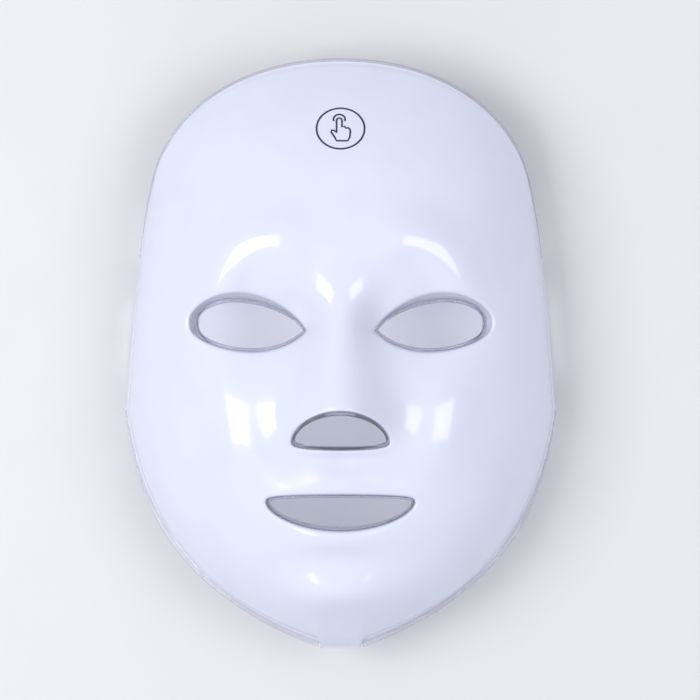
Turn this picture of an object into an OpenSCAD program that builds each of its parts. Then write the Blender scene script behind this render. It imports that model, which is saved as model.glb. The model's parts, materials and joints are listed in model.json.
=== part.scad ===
// LED face mask, lying face up: +Z out of the face, +Y to the forehead, +X to the viewer's right.
// All lengths are in millimetres. The lowest edges of the two strap ears lie at z = 0.
// The shells and light boards share one grid of nodes laid over the face, so they nest.

/* [Shells] */
// Thickness of the white front shell
shell_t = 2; // [1.6:0.1:2.4]
// Thickness of the clear inner shell
clear_t = 1.5; // [1.2:0.1:1.8]
// Space between the two shells away from the rim
cavity = 7; // [6.5:0.25:8]
// Extra space behind the forehead, for the battery
forehead_room = 5; // [4.5:0.25:5.5]
// How far the clear shell's rim shows past the white edge at the chin
rim_show = 1.7; // [1:0.1:2.2]
// Depth of the rolled edge around each face opening
collar_h = 6; // [5:0.25:6.5]

/* [Face openings] */
// Width of each eye opening
eye_w = 46; // [42:1:48]
// Height of each eye opening
eye_h = 22.5; // [20:0.5:24]
// Width of the nose opening
nose_w = 38; // [34:1:40]
// Width of the mouth opening
mouth_w = 58; // [50:1:60]

/* [Lights] */
// Side of a light package
led_w = 5; // [3.5:0.25:5]
// Height of a light package
led_h = 1.6; // [0.8:0.1:1.8]
// Thickness of a light board
board_t = 0.8; // [0.4:0.1:1]

/* [Power and control] */
// Battery width
battery_w = 30; // [24:1:32]
// Battery length
battery_l = 40; // [30:1:42]
// Battery thickness
battery_t = 4; // [3:0.25:4]
// Diameter of the printed touch ring
mark_d = 18.8; // [15:0.2:22]

/* [Straps] */
// Height of the strap slot in each ear
slot_h = 4.5; // [4.5:0.1:5]

/* [Hidden] */
nx = 36;                      // grid cells across the face
ny = 48;                      // grid cells down the face
mid = nx / 2;
fit_gap = 0.15;               // gap between parts that nest
skin_gap = 0.03;              // gap between parts that touch

// White edge, right half: brow arc, side, jaw. Each is the four points of one smooth curve.
crown = [[0, 116.8], [41, 116.8], [66.5, 96], [74.2, 74]];
temple = [[74.2, 74], [82.4, 50], [84.7, 10], [87.3, -23.2]];
jaw = [[87.3, -23.2], [81.4, -65], [57.4, -98], [8, -115.2]];
jaw_split = 0.6;              // where the grid's lower corner sits along the jaw
side_split = 0.58;            // where the grid's rows pass from temple to jaw
chin_share = 0.1;             // share of the bottom row taken by the charging tab
tab_w = 15.8;
tab_y = -118.4;

// Strap ears: where they start and end along the side, and the edge heights around the mask
ear_top_y = 37;
ear_low_y = -22;
side_z = 10.5;
crown_z = 34;
chin_z = 31;

// Face openings: [centre x, centre y, half width, height above, height below,
//                 power above, power below, slope, lid shift, outer corner rounding, upper lean, outer lean]
eye_hole = [36.3, 11.2, eye_w / 2, eye_h * 0.55, eye_h * 0.45, 1.45, 1.15, 0.085, 1.8,
    0.3, 2.2, 2];
nose_hole = [0, -33.6, nose_w / 2, 12, 3.6, 1.2, 0.55, 0, 0, 0, 0.5, 0];
mouth_hole = [0, -57.6, mouth_w / 2, 3.2, 11, 0.5, 1.2, 0, 0, 0, 0, 0];

// Grid blocks taken out for the openings: [first column, last column, first row, last row]
eye_block = [20, 29, 19, 23];
eye_block_left = [nx - 29, nx - 20, 19, 23];
nose_block = [15, 21, 27, 31];
mouth_block = [13, 23, 34, 38];
tab_block = [15, 21, ny, ny];
notch_block = [15, 21, ny - 1, ny];

// Relief added to the plain dome: [centre x, centre y, spread x, spread y, tilt, height, power]
relief = [
    [0, 40, 13, 10, 0, 1, 1],         // between the brows
    [33, 12, 20, 15, 0, -8.5, 1],     // eye socket
    [16, 15, 8, 11, 0, -4.5, 1],      // inner eye corner
    [41, -28, 13, 22, -14, 3.4, 1],   // cheekbone
    [0, -57, 24, 17, 0, 1.4, 1],      // mouth swell
    [0, -48, 11, 4.5, 0, 1.3, 1],     // upper lip
    [0, -42, 4, 5, 0, -0.8, 1],       // groove under the nose
    [0, -72, 15, 4.5, 0, 2, 1],       // lower lip
    [0, -81, 20, 5, 0, -0.6, 1],      // dip under the lip
    [0, -95, 23, 9, 0, 6, 1]          // chin
];
nose_lift = 21;
nose_top_y = 30;
nose_tip_y = -24;

function clamp(v, a, b) = min(b, max(a, v));
function ease(a, b, v) = let(t = clamp((v - a) / (b - a), 0, 1)) t * t * (3 - 2 * t);
function mix(a, b, t) = a * (1 - t) + b * t;
function unit(v) = v / norm(v);
function curve(p, t) = pow(1 - t, 3) * p[0] + 3 * t * pow(1 - t, 2) * p[1]
    + 3 * t * t * (1 - t) * p[2] + pow(t, 3) * p[3];

// Height of the white edge above the table at height y on the face
function edge_z(y) = side_z + (crown_z - side_z) * ease(34, 120, y)
    + (chin_z - side_z) * ease(-22, -120, y);

// The plain dome under the features
function ridge_z(y) = 68 - 37.4 * pow(max(0, (y - 30) / 90), 2.2)
    - 44 * pow(max(0, (20 - y) / 140), 6);
function dome_half(y) = y > -24 ? 88.5 - 7.7 * min(1, (y + 24) / 88)
    : 88.5 * pow(1 - pow(min(0.995, (-24 - y) / 99), 1.6), 0.455);
function dome(x, y) = let(r = min(0.9995, abs(x) / dome_half(y)))
    ridge_z(y) - 64 * (1 - sqrt(1 - pow(r, 2.2)));

// One bump of the relief, mirrored to the other side when it is off the midline
function bump_side(x, y, f) = let(
    c = cos(f[4]), s = sin(f[4]), dx = x - f[0], dy = y - f[1],
    a = (dx * c + dy * s) / f[2], b = (dy * c - dx * s) / f[3])
    f[5] * exp(-pow(a * a + b * b, f[6]));
function bump(x, y, f) = bump_side(x, y, f) + (f[0] == 0 ? 0 : bump_side(-x, y, f));
function relief_sum(x, y, k = 0) = k == len(relief) ? 0
    : bump(x, y, relief[k]) + relief_sum(x, y, k + 1);
function nose_ridge(x, y) = let(
    rise = nose_lift * pow(clamp((nose_top_y - y) / (nose_top_y - nose_tip_y), 0, 1), 1.25),
    fall = 1 - ease(nose_tip_y, -42, y),
    half = 8.5 + 9 * ease(20, -26, y))
    rise * fall * exp(-pow(abs(x / half), 2.2));
// The brow is a ridge curved around each eye socket
function brow(x, y) = let(u = abs(x) - 25, v = y - 24, r = norm([u, v]), a = atan2(v, u))
    3.6 * exp(-pow((r - 22) / 11, 2)) * ease(-75, -15, a) * (1 - ease(90, 150, a)) * ease(0, 18, r);
function face(x, y) = dome(x, y) + nose_ridge(x, y) + brow(x, y) + relief_sum(x, y);

// Outward directions: of the finished face, and of the plain dome
function face_out(x, y, h = 0.05) = unit([(face(x - h, y) - face(x + h, y)) / (2 * h),
    (face(x, y - h) - face(x, y + h)) / (2 * h), 1]);
function dome_out(x, y, h = 0.05) = unit([(dome(x - h, y) - dome(x + h, y)) / (2 * h),
    (dome(x, y - h) - dome(x, y + h)) / (2 * h), 1]);

// Edge curves in grid terms: u runs 0 to 1 across, v runs 0 to 1 down
function mirror_x(p, s) = [s * p[0], p[1]];
function edge_top(u) = mirror_x(curve(crown, abs(2 * u - 1)), u < 0.5 ? -1 : 1);
function edge_side(v, s) = mirror_x(v < side_split ? curve(temple, v / side_split)
    : curve(jaw, jaw_split * (v - side_split) / (1 - side_split)), s);
function edge_low(u) = let(a = abs(2 * u - 1))
    mirror_x(a < chin_share ? [jaw[3][0] * a / chin_share, jaw[3][1]]
        : curve(jaw, 1 - (1 - jaw_split) * (a - chin_share) / (1 - chin_share)), u < 0.5 ? -1 : 1);
function plain_node(i, j) = let(u = i / nx, v = j / ny)
    (1 - v) * edge_top(u) + v * edge_low(u) + (1 - u) * edge_side(v, -1) + u * edge_side(v, 1)
    - (1 - u) * (1 - v) * edge_top(0) - u * (1 - v) * edge_top(1)
    - (1 - u) * v * edge_low(0) - u * v * edge_low(1);

// A point on an opening's outline at angle a, grown outward by g. With tip 1, the upper edge and
// the outer corner lean in.
function hole_point(h, a, g, tip) = let(
    s = sin(a), c = cos(a), x = (h[2] + g) * c - tip * h[11] * pow(max(0, c), 2),
    y = s >= 0 ? (h[3] + g) * pow(s, h[5]) - tip * h[10] * s * s
        : -(h[4] + g) * pow(-s, h[6] - h[9] * c))
    [h[0] + x + h[8] * abs(s), h[1] + y + h[7] * x];

// Openings as the grid sees them: [block, outline, side]
faces_open = [[eye_block, eye_hole, 1], [eye_block_left, eye_hole, -1],
    [nose_block, nose_hole, 1], [mouth_block, mouth_hole, 1]];

function ring_of(b, i, j) = max(b[0] - i, i - b[1], b[2] - j, j - b[3], 0);
// Where block node (i, j) goes on the outline of opening o
function open_target(o, i, j, g, tip) = let(
    b = o[0],
    a = (2 * i - b[0] - b[1]) / (b[1] - b[0]),
    d = -(2 * j - b[2] - b[3]) / (b[3] - b[2]),
    p = hole_point(o[1], atan2(d, o[2] * a), g, tip))
    [o[2] * p[0], p[1]];
// Charging tab: square ends that stand past the white edge
function tab_target(i, j) = let(k = i - mid, s = sign(k))
    abs(k) == 3 ? [s * (tab_w / 2 + 0.15), jaw[3][1]] : [k * tab_w / 4, tab_y];
function notch_target(i, j) = let(k = i - mid, s = sign(k))
    [abs(k) == 3 ? s * (tab_w / 2 + 0.6) : k * tab_w / 5, j == ny ? jaw[3][1] : -108.5];
// Screw holes through the clear shell: small square cuts around one cell
screw_cells = [[11, 3], [24, 3], [3, 19], [32, 19], [3, 29], [32, 29], [8, 42], [27, 42]];
function cell_mid(c) = plain_node(c[0] + 0.5, c[1] + 0.5);
function screw_target(c, i, j) = cell_mid(c) + 1.3 * [2 * (i - c[0]) - 1, 1 - 2 * (j - c[1])];

reach = 4;                    // rings of cells over which a moved block eases out
function fall_off(r) = pow(max(0, 1 - r / reach), 2);
function near_block(b, i, j) = [clamp(i, b[0], b[1]), clamp(j, b[2], b[3])];
function sum(v, k = 0) = k == len(v) ? [0, 0] : v[k] + sum(v, k + 1);
function screw_block(c) = [c[0], c[0] + 1, c[1], c[1] + 1];
function low_target(i, j, clear) = clear ? notch_target(i, j) : tab_target(i, j);

// Plan position of node (i, j). g grows the openings and tip leans their upper edges in;
// clear adds the clear shell's own cuts.
function node_xy(i, j, g, clear, tip = 0) = let(
    hit = [for (o = faces_open) if (ring_of(o[0], i, j) == 0) o],
    low = clear ? notch_block : tab_block,
    screws = clear ? [for (c = screw_cells) if (ring_of(screw_block(c), i, j) == 0) c] : [],
    q = near_block(low, i, j))
    len(hit) > 0 ? open_target(hit[0], i, j, g, tip)
    : ring_of(low, i, j) == 0 ? low_target(i, j, clear)
    : len(screws) > 0 ? screw_target(screws[0], i, j)
    : plain_node(i, j)
        + sum([for (o = faces_open) let(c = near_block(o[0], i, j))
            fall_off(ring_of(o[0], i, j))
                * (open_target(o, c[0], c[1], g, tip) - plain_node(c[0], c[1]))])
        + fall_off(ring_of(low, i, j)) * (low_target(q[0], q[1], clear) - plain_node(q[0], q[1]));

// How strongly node (i, j) belongs to an opening, 1 on its outline
function hole_pull(i, j) = max([for (o = faces_open) fall_off(ring_of(o[0], i, j))]);
// Small height change that brings the rim to its set height
function edge_fix(p) = edge_z(p[1]) - face(p[0], p[1]);
function rim_fix(i, j) = let(
    u = clamp(i / nx, 0, 1),
    v = clamp(j / ny, 0, 1),
    a = pow(abs(2 * u - 1), 8),
    b = pow(abs(2 * v - 1), 8),
    s = u < 0.5 ? -1 : 1,
    side = edge_fix(edge_side(v, s)),
    end = edge_fix(v < 0.5 ? edge_top(u) : edge_low(u)),
    corner = edge_fix(v < 0.5 ? edge_side(0, s) : edge_side(1, s)))
    a * side + b * end - a * b * corner;
function skin(p, fix = 0) = [p[0], p[1], face(p[0], p[1]) + fix];

// Depth of the clear shell's face below the mask's face, at node (i, j)
function clear_depth(p, i, j) = let(e = min(i, nx - i, j, ny - j))
    shell_t + fit_gap + (cavity + forehead_room * exp(-pow(p[0] / 42, 4) - pow((p[1] - 60) / 40, 4)))
        * ease(0, 3.5, e);
// A node sunk below the face: by a along the face's own direction, and by b along the dome's.
// Around an opening it sinks upright, so that rolled edges nest.
function sunk(i, j, a, b, g, clear, tip = 0) = let(
    p = node_xy(i, j, g, clear, tip),
    w = hole_pull(i, j),
    n = face_out(p[0], p[1]),
    m = dome_out(p[0], p[1]))
    skin(p, rim_fix(i, j)) - mix(a * n + b * m, [0, 0, a / n[2] + b / m[2]], w);

// ---------- Sheets: a closed solid between an upper and a lower grid of points ----------
// cells[j][i] is 1 for a cell of the sheet, 2 for an opening with a rolled edge, 0 for nothing.
function cell_at(cells, i, j) = i < 0 || j < 0 || j >= len(cells) || i >= len(cells[0]) ? 0 : cells[j][i];
module sheet(upper, lower, cells, roll_a = [], roll_b = []) {
    rows = len(upper);
    cols = len(upper[0]);
    layer = rows * cols;
    layers = len(roll_a) > 0 ? [upper, roll_a, roll_b, lower] : [upper, lower];
    points = [for (g = layers) for (row = g) for (p = row) p];
    low = layer * (len(layers) - 1);
    at = function (i, j) j * cols + i;
    faces = [for (j = [0:len(cells) - 1]) for (i = [0:len(cells[0]) - 1]) if (cells[j][i] == 1)
        let(a = at(i, j), b = at(i + 1, j), c = at(i + 1, j + 1), d = at(i, j + 1))
        let(right = points[a][0] >= 0)
        each concat(
            right ? [[a, b, c], [a, c, d], [c + low, b + low, a + low], [d + low, c + low, a + low]]
                : [[b, c, d], [b, d, a], [d + low, c + low, b + low], [d + low, b + low, a + low]],
            edge_faces(a, b, cell_at(cells, i, j - 1), layer, low),
            edge_faces(b, c, cell_at(cells, i + 1, j), layer, low),
            edge_faces(c, d, cell_at(cells, i, j + 1), layer, low),
            edge_faces(d, a, cell_at(cells, i - 1, j), layer, low))];
    polyhedron(points, faces, convexity = 8);
}
function strip_faces(a, b, c, d) = [[a, b, c], [a, c, d]];
function edge_faces(a, b, beyond, layer, low) = beyond == 1 ? []
    : beyond == 2 ? [for (k = [0:2]) each strip_faces(b + k * layer, a + k * layer,
        a + (k + 1) * layer, b + (k + 1) * layer)]
    : strip_faces(b, a, a + low, b + low);

function in_block(b, i, j) = i >= b[0] && i < b[1] && j >= b[2] && j < b[3];
function opening_at(i, j) = len([for (o = faces_open) if (in_block(o[0], i, j)) 1]) > 0;

// ---------- Seats: flat parts stand on the dome's direction at a place on the face ----------
function frame(p, x, z) = let(u = unit(x - (x * z) * z), v = cross(z, u))
    [[u[0], v[0], z[0], p[0]], [u[1], v[1], z[1], p[1]], [u[2], v[2], z[2], p[2]], [0, 0, 0, 1]];
function seat_point(q, d, fix = 0) = let(n = face_out(q[0], q[1]), m = dome_out(q[0], q[1]))
    skin(q, fix) - shell_t * n - (d - shell_t) * m;
// Places its children at plan point q, depth d, with z along the dome's direction
module seat(q, d, fix = 0) {
    multmatrix(frame(seat_point(q, d, fix), [1, 0, 0], dome_out(q[0], q[1]))) children();
}
// The same as a function: where the seat puts point v
function from_seat(q, d, v) = let(
    m = frame(seat_point(q, d), [1, 0, 0], dome_out(q[0], q[1])),
    r = m * [v[0], v[1], v[2], 1])
    [r[0], r[1], r[2]];
module block(x, y, z) {
    translate([-x / 2, -y / 2, -z]) cube([x, y, z]);
}
module rounded(x, y, r, z) {
    linear_extrude(z) {
        square([x - 2 * r, y], center = true);
        square([x, y - 2 * r], center = true);
        for (sx = [-1, 1]) {
            for (sy = [-1, 1]) {
                translate([sx * (x / 2 - r), sy * (y / 2 - r)]) circle(r, $fn = 24);
            }
        }
    }
}
// A round wire through a list of points
module wire(path, r, sides = 6) {
    last = len(path) - 1;
    along = [for (k = [0:last]) unit(path[min(last, k + 1)] - path[max(0, k - 1)])];
    ring = [for (k = [0:last]) let(
        across = abs(along[k][0]) < 0.8 ? [1, 0, 0] : [0, 0, 1],
        m = frame(path[k], across, along[k]))
        [for (q = [0:sides - 1]) let(a = 360 * q / sides, v = m * [r * cos(a), r * sin(a), 0, 1])
            [v[0], v[1], v[2]]]];
    points = [for (g = ring) each g];
    walls = [for (k = [0:last - 1]) for (q = [0:sides - 1]) let(e = (q + 1) % sides)
        each strip_faces(k * sides + e, k * sides + q, (k + 1) * sides + q, (k + 1) * sides + e)];
    ends = [[for (q = [0:sides - 1]) q], [for (q = [sides - 1:-1:0]) last * sides + q]];
    polyhedron(points, concat(walls, ends), convexity = 6);
}
// Rounds a path's corners by cutting them twice
function cut_corners(v) = [
    v[0],
    for (k = [0:len(v) - 2]) each [mix(v[k], v[k + 1], 0.25), mix(v[k], v[k + 1], 0.75)],
    v[len(v) - 1]];
function smooth(v) = cut_corners(cut_corners(v));

// ---------- Shells ----------
module outer_shell() {
    wall = 1.8;
    cells = [for (j = [0:ny - 1]) [for (i = [0:nx - 1]) opening_at(i, j) ? 2 : 1]];
    upper = [for (j = [0:ny]) [for (i = [0:nx]) skin(node_xy(i, j, 0, false), rim_fix(i, j))]];
    lower = [for (j = [0:ny]) [for (i = [0:nx]) sunk(i, j, shell_t, 0, wall, false)]];
    rolled = function (g) [for (j = [0:ny]) [for (i = [0:nx]) let(p = node_xy(i, j, g, false, 1))
        [p[0], p[1], upper[j][i][2] - collar_h]]];
    color("white") sheet(upper, lower, cells, rolled(0), rolled(wall));
}

// The clear shell's grid runs on past the white edge: one ring of rim, and three of ear at the sides
ear_rows = [12, 27];
slot_rows = [16, 23];
slot_low_z = 3.4;
ear_z = [slot_low_z + slot_h, slot_low_z, 0];
ear_lean = 0.35;              // 1 would carry on the slope of the shell's side, 0 hangs straight down
function clear_node(i, j, a, g) = let(
    bi = clamp(i, 0, nx),
    bj = clamp(j, 0, ny),
    k = max(-i, i - nx, -j, j - ny, 0),
    d = clear_depth(node_xy(bi, bj, g, true, 1), bi, bj) - shell_t,
    edge = sunk(bi, bj, shell_t + a, d, g, true, 1))
    k == 0 ? edge
    : let(
        inner = sunk(clamp(i, 1, nx - 1), clamp(j, 1, ny - 1), shell_t + a, d, g, true, 1),
        way = unit(edge - inner),
        drop = edge[2] - ear_z[k - 1])
    i != bi && bj >= ear_rows[0] && bj <= ear_rows[1]
        ? edge + [ear_lean * way[0] / -way[2], ear_lean * way[1] / -way[2], -1] * drop
        : rim_point(bi, bj, way, a);
// The rim is a flange that runs out under the white edge, wider at the chin and the crown
function rim_point(i, j, way, a) = let(
    p = node_xy(i, j, 0, true, 1),
    show = 0.3 + 0.8 * ease(40, 100, p[1]) + rim_show * ease(-20, -75, p[1]),
    out = unit([way[0], way[1]]) * show,
    n = face_out(p[0], p[1]))
    [p[0] + out[0], p[1] + out[1], edge_z(p[1]) - shell_t * n[2] - fit_gap - a];
function is_screw(i, j) = len([for (c = screw_cells) if (c[0] == i && c[1] == j) 1]) > 0;
function clear_cell(i, j) = let(side = i < 0 || i >= nx, k = max(-i, i - nx + 1))
    opening_at(i, j) ? 2
    : i >= notch_block[0] && i < notch_block[1] && j >= ny - 1 || is_screw(i, j) ? 0
    : k < 2 ? 1
    : j >= ear_rows[0] && j < ear_rows[1] && !(k == 2 && j >= slot_rows[0] && j < slot_rows[1]) ? 1 : 0;
module inner_shell() {
    inset = fit_gap + 0.05;
    lip = 1.2;
    lip_drop = 2.5;
    cells = [for (j = [-1:ny]) [for (i = [-3:nx + 2]) clear_cell(i, j)]];
    upper = [for (j = [-1:ny + 1]) [for (i = [-3:nx + 3]) clear_node(i, j, 0, -inset)]];
    lower = [for (j = [-1:ny + 1]) [for (i = [-3:nx + 3]) clear_node(i, j, clear_t, -inset - lip)]];
    top = function (i, j) let(p = node_xy(i, j, 0, true)) face(p[0], p[1]) - lip_drop;
    raised = function (grid) [for (j = [-1:ny + 1]) [for (i = [-3:nx + 3])
        let(p = grid[j + 1][i + 3]) [p[0], p[1], hole_ring(i, j) ? top(i, j) : p[2]]]];
    color([0.85, 0.88, 0.92, 0.35]) sheet(upper, lower, cells, raised(upper), raised(lower));
}
function hole_ring(i, j) = len([for (o = faces_open) if (ring_of(o[0], i, j) == 0) 1]) > 0;

// ---------- Touch key ----------
mark_y = 88.3;
mark_line = 0.7;
mark_h = 0.12;
// A point drawn on the forehead: a across, b up the slope, h above the face
function mark_point(a, b, h) = let(n = face_out(0, mark_y), y = mark_y + b * n[2])
    skin([a, y]) + h * face_out(a, y);
// A raised line along a path on the forehead
module stroke(path, closed) {
    n = len(path);
    last = n - 1;
    side = [for (k = [0:last]) let(
        p = path[closed ? (k + last) % n : max(0, k - 1)],
        q = path[closed ? (k + 1) % n : min(last, k + 1)],
        t = unit(q - p)) [-t[1], t[0]] * mark_line / 2];
    points = [for (k = [0:last]) for (c = [[1, mark_h], [-1, mark_h], [-1, 0], [1, 0]])
        let(v = path[k] + c[0] * side[k]) mark_point(v[0], v[1], c[1] + skin_gap)];
    runs = [for (k = [0:closed ? last : last - 1]) for (c = [0:3]) let(e = (k + 1) % n, d = (c + 1) % 4)
        each strip_faces(4 * k + c, 4 * k + d, 4 * e + d, 4 * e + c)];
    caps = closed ? [] : [[3, 2, 1, 0], [4 * last, 4 * last + 1, 4 * last + 2, 4 * last + 3]];
    polyhedron(points, concat(runs, caps), convexity = 6);
}
// A pointing hand, drawn round from the fingertip, and the ripple over it
hand = [[-0.5, 4.9], [0.35, 4.4], [0.55, 3.6], [0.55, 0.7], [1.6, 0.9], [2.1, 0.1], [3, 0.3],
    [3.7, -0.5], [3.85, -1.6], [3.6, -4], [2.9, -5.7], [-1.6, -5.7], [-2.3, -4], [-3.7, -1.7],
    [-3.5, -0.8], [-2.6, -0.9], [-1.55, -2], [-1.55, 3.6], [-1.35, 4.4]];
module touch_mark() {
    color([0.18, 0.19, 0.26]) {
        stroke([for (k = [0:47]) let(a = 7.5 * k) mark_d / 2 * [sin(a), cos(a)]], true);
        stroke(hand, true);
        stroke([for (k = [0:10]) let(a = -110 + 22 * k) [-0.5, 4.2] + 2.3 * [sin(a), cos(a)]], false);
    }
}
pad_d = 2.6;
pad_t = 0.3;
module touch_pad() {
    color("orange") seat([0, mark_y], pad_d) translate([0, 0, -pad_t])
        cylinder(r = 8, h = pad_t, $fn = 48);
}
control_y = 90;
control_d = 5.4;
control_t = 1.2;
module touch_spring() {
    turns = 3;
    r = 3;
    thick = 0.25;
    tall = control_d - pad_d - pad_t - 2 * thick - 0.35;
    path = [for (k = [0:turns * 14]) let(a = 360 * k / 14)
        from_seat([0, mark_y], pad_d + pad_t + thick + skin_gap,
            [r * cos(a), r * sin(a), -tall * k / (turns * 14)])];
    color("silver") wire(path, thick, 5);
}

// ---------- Control board ----------
control_w = 34;
control_h = 15;
control_screws = [-14.5, 14.5];
module control_board() {
    color("darkgreen") seat([0, control_y], control_d) difference() {
        block(control_w, control_h, control_t);
        for (x = control_screws) {
            translate([x, 0, -control_t - 1]) cylinder(r = 0.9, h = control_t + 2, $fn = 24);
        }
    }
}
module on_control() {
    seat([0, control_y], control_d + control_t + skin_gap) children();
}
module control_chips() {
    color("black") on_control() {
        translate([-4, 2.5]) block(5, 5, 1);
        translate([4, 3.5]) block(4, 3, 1);
        translate([9.5, 3]) block(3, 3, 0.9);
    }
}
module control_coil() {
    color("dimgray") on_control() translate([4, -3.5, -1.5]) cylinder(r = 2.1, h = 1.5, $fn = 32);
}
module control_parts() {
    color("tan") on_control() {
        for (x = [-10, -7.8, 8, 10]) translate([x, -2.5]) block(1.2, 2, 0.6);
        for (x = [-10.4, -8.8]) translate([x, 4.5]) block(0.8, 1.6, 0.45);
        translate([0.4, 5.5]) block(1.6, 0.8, 0.45);
    }
}
socket_x = [-8, -1.5];
module control_sockets() {
    color("ivory") on_control() for (x = socket_x) translate([x, -6.1]) difference() {
        block(4.4, 2.6, 1.6);
        translate([0, -0.6, -0.35]) block(3.4, 2.2, 0.9);
    }
}
// Short posts on the shell carry the control board
module control_posts() {
    color("white") seat([0, control_y], control_d - skin_gap) {
        for (x = control_screws) {
            translate([x, 0, 0]) difference() {
                cylinder(r = 2.1, h = 1.9, $fn = 32);
                translate([0, 0, -0.5]) cylinder(r = 0.8, h = 2, $fn = 24);
            }
        }
    }
}
module small_screw(shank) {
    translate([0, 0, -1]) cylinder(r = 1.5, h = 1, $fn = 24);
    translate([0, 0, -0.01]) cylinder(r = 0.7, h = shank, $fn = 24);
}
module control_fixings() {
    color("silver") on_control() for (x = control_screws) translate([x, 0, 0]) difference() {
        small_screw(control_t + 1.3);
        translate([-1, -0.2, -1.1]) cube([2, 0.4, 0.5]);
        translate([-0.2, -1, -1.1]) cube([0.4, 2, 0.5]);
    }
}

// ---------- Battery ----------
battery_y = 59;
battery_d = 5.4;
module battery() {
    color("silver") seat([0, battery_y], battery_d) translate([0, 0, -battery_t])
        rounded(battery_w, battery_l, 1.5, battery_t);
}
module battery_pad() {
    color("gray") seat([0, battery_y], battery_d - skin_gap) rounded(14, 20, 1, 2.3);
}
module battery_guard() {
    color("darkgreen") seat([0, battery_y], battery_d + battery_t / 2)
        translate([0, -battery_l / 2 - 1.9, 0.5]) block(battery_w - 4, 3.6, 1);
}
// A place beside the battery, at half its thickness
function by_battery(x, y, z) = from_seat([0, battery_y], battery_d + battery_t / 2, [x, y, z]);
function by_control(x, y) = from_seat([0, control_y], control_d + control_t + 0.9, [x, y, 0]);
module battery_lead() {
    side = -battery_w / 2;
    end = battery_l / 2;
    pitch = 1.5;
    // The wire that ends up on the outside takes the wider turn
    color("red") for (k = [0, 1]) {
        turn = pitch * (1 - k);
        wire(smooth([
            by_battery(side + 4 + turn, -end - 3.75, 0),
            by_battery(side + 4 + turn, -end - 5.2 - turn, 0),
            by_battery(side - 2.6 + pitch * k, -end - 5.2 - turn, -0.3),
            by_battery(side - 2.6 + pitch * k, 0, -0.5),
            by_battery(side - 2.4 + pitch * k, end + 0.5, -0.6),
            by_control(socket_x[0] - 0.75 + pitch * k, -9.5),
            by_control(socket_x[0] - 0.75 + pitch * k, -7.45)]), 0.45);
    }
}

// ---------- Light boards ----------
// Each board covers a run of grid cells: [first column, last column, first row, last row]
forehead_area = [5, 31, 6, 16];
nose_area = [16, 20, 21, 26];
cheek_right_area = [25, 31, 25, 37];
cheek_left_area = [nx - 31, nx - 25, 25, 37];
chin_area = [11, 25, 40, 46];
light_room = led_h + 1.8;     // from a board's face down to the clear shell
function board_node(i, j, a) = let(p = node_xy(i, j, 0, false))
    sunk(i, j, shell_t + a, clear_depth(p, i, j) - shell_t - light_room - board_t, 0, false);
module board_sheet(area, thick) {
    upper = [for (j = [area[2]:area[3]]) [for (i = [area[0]:area[1]]) board_node(i, j, 0)]];
    lower = [for (j = [area[2]:area[3]]) [for (i = [area[0]:area[1]]) board_node(i, j, thick)]];
    cells = [for (j = [area[2]:area[3] - 1]) [for (i = [area[0]:area[1] - 1]) 1]];
    sheet(upper, lower, cells);
}
module lights(area) {
    for (j = [area[2]:2:area[3] - 1]) {
        for (i = [area[0]:2:area[1] - 1]) {
            p = [for (c = [[0, 0], [1, 0], [1, 1], [0, 1]]) board_node(i + c[0], j + c[1], board_t)];
            up = unit(cross(p[1] - p[3], p[0] - p[2]));
            mid_p = (p[0] + p[1] + p[2] + p[3]) / 4;
            multmatrix(frame(mid_p - 0.06 * up, p[1] - p[0], up)) block(led_w, led_w, led_h);
        }
    }
}
module light_board_forehead() {
    color("white") board_sheet(forehead_area, board_t);
}
module light_board_nose() {
    color("white") board_sheet(nose_area, board_t);
}
module light_board_cheek_right() {
    color("white") board_sheet(cheek_right_area, board_t);
}
module light_board_cheek_left() {
    color("white") board_sheet(cheek_left_area, board_t);
}
module light_board_chin() {
    color("white") board_sheet(chin_area, board_t);
}
module lights_forehead() {
    color("lightyellow") lights(forehead_area);
}
module lights_nose() {
    color("lightyellow") lights(nose_area);
}
module lights_cheek_right() {
    color("lightyellow") lights(cheek_right_area);
}
module lights_cheek_left() {
    color("lightyellow") lights(cheek_left_area);
}
module lights_chin() {
    color("lightyellow") lights(chin_area);
}
// Flat flexible links carry power from board to board
link_t = 0.3;
module board_link(area) {
    color("orange") board_sheet(area, link_t);
}
module link_nose() {
    board_link([17, 19, 16, 21]);
}
module link_cheek_right() {
    board_link([30, 31, 16, 25]);
}
module link_cheek_left() {
    board_link([nx - 31, nx - 30, 16, 25]);
}
module link_chin_right() {
    board_link([25, 26, 37, 42]);
}
module link_chin_left() {
    board_link([nx - 26, nx - 25, 37, 42]);
}

// Foam blocks hold the boards off the shell
pad_cells = [[9, 9], [27, 9], [12, 14], [24, 14], [28, 28], [28, 34], [8, 28], [8, 34], [14, 43],
    [22, 43], [18, 23]];
module light_pads() {
    color("gray") for (c = pad_cells) {
        q = plain_node(c[0], c[1]);
        low = clear_depth(q, c[0], c[1]) - light_room - board_t;
        seat(q, shell_t + 0.15, rim_fix(c[0], c[1])) block(6, 6, low - shell_t - 0.3);
    }
}

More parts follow.
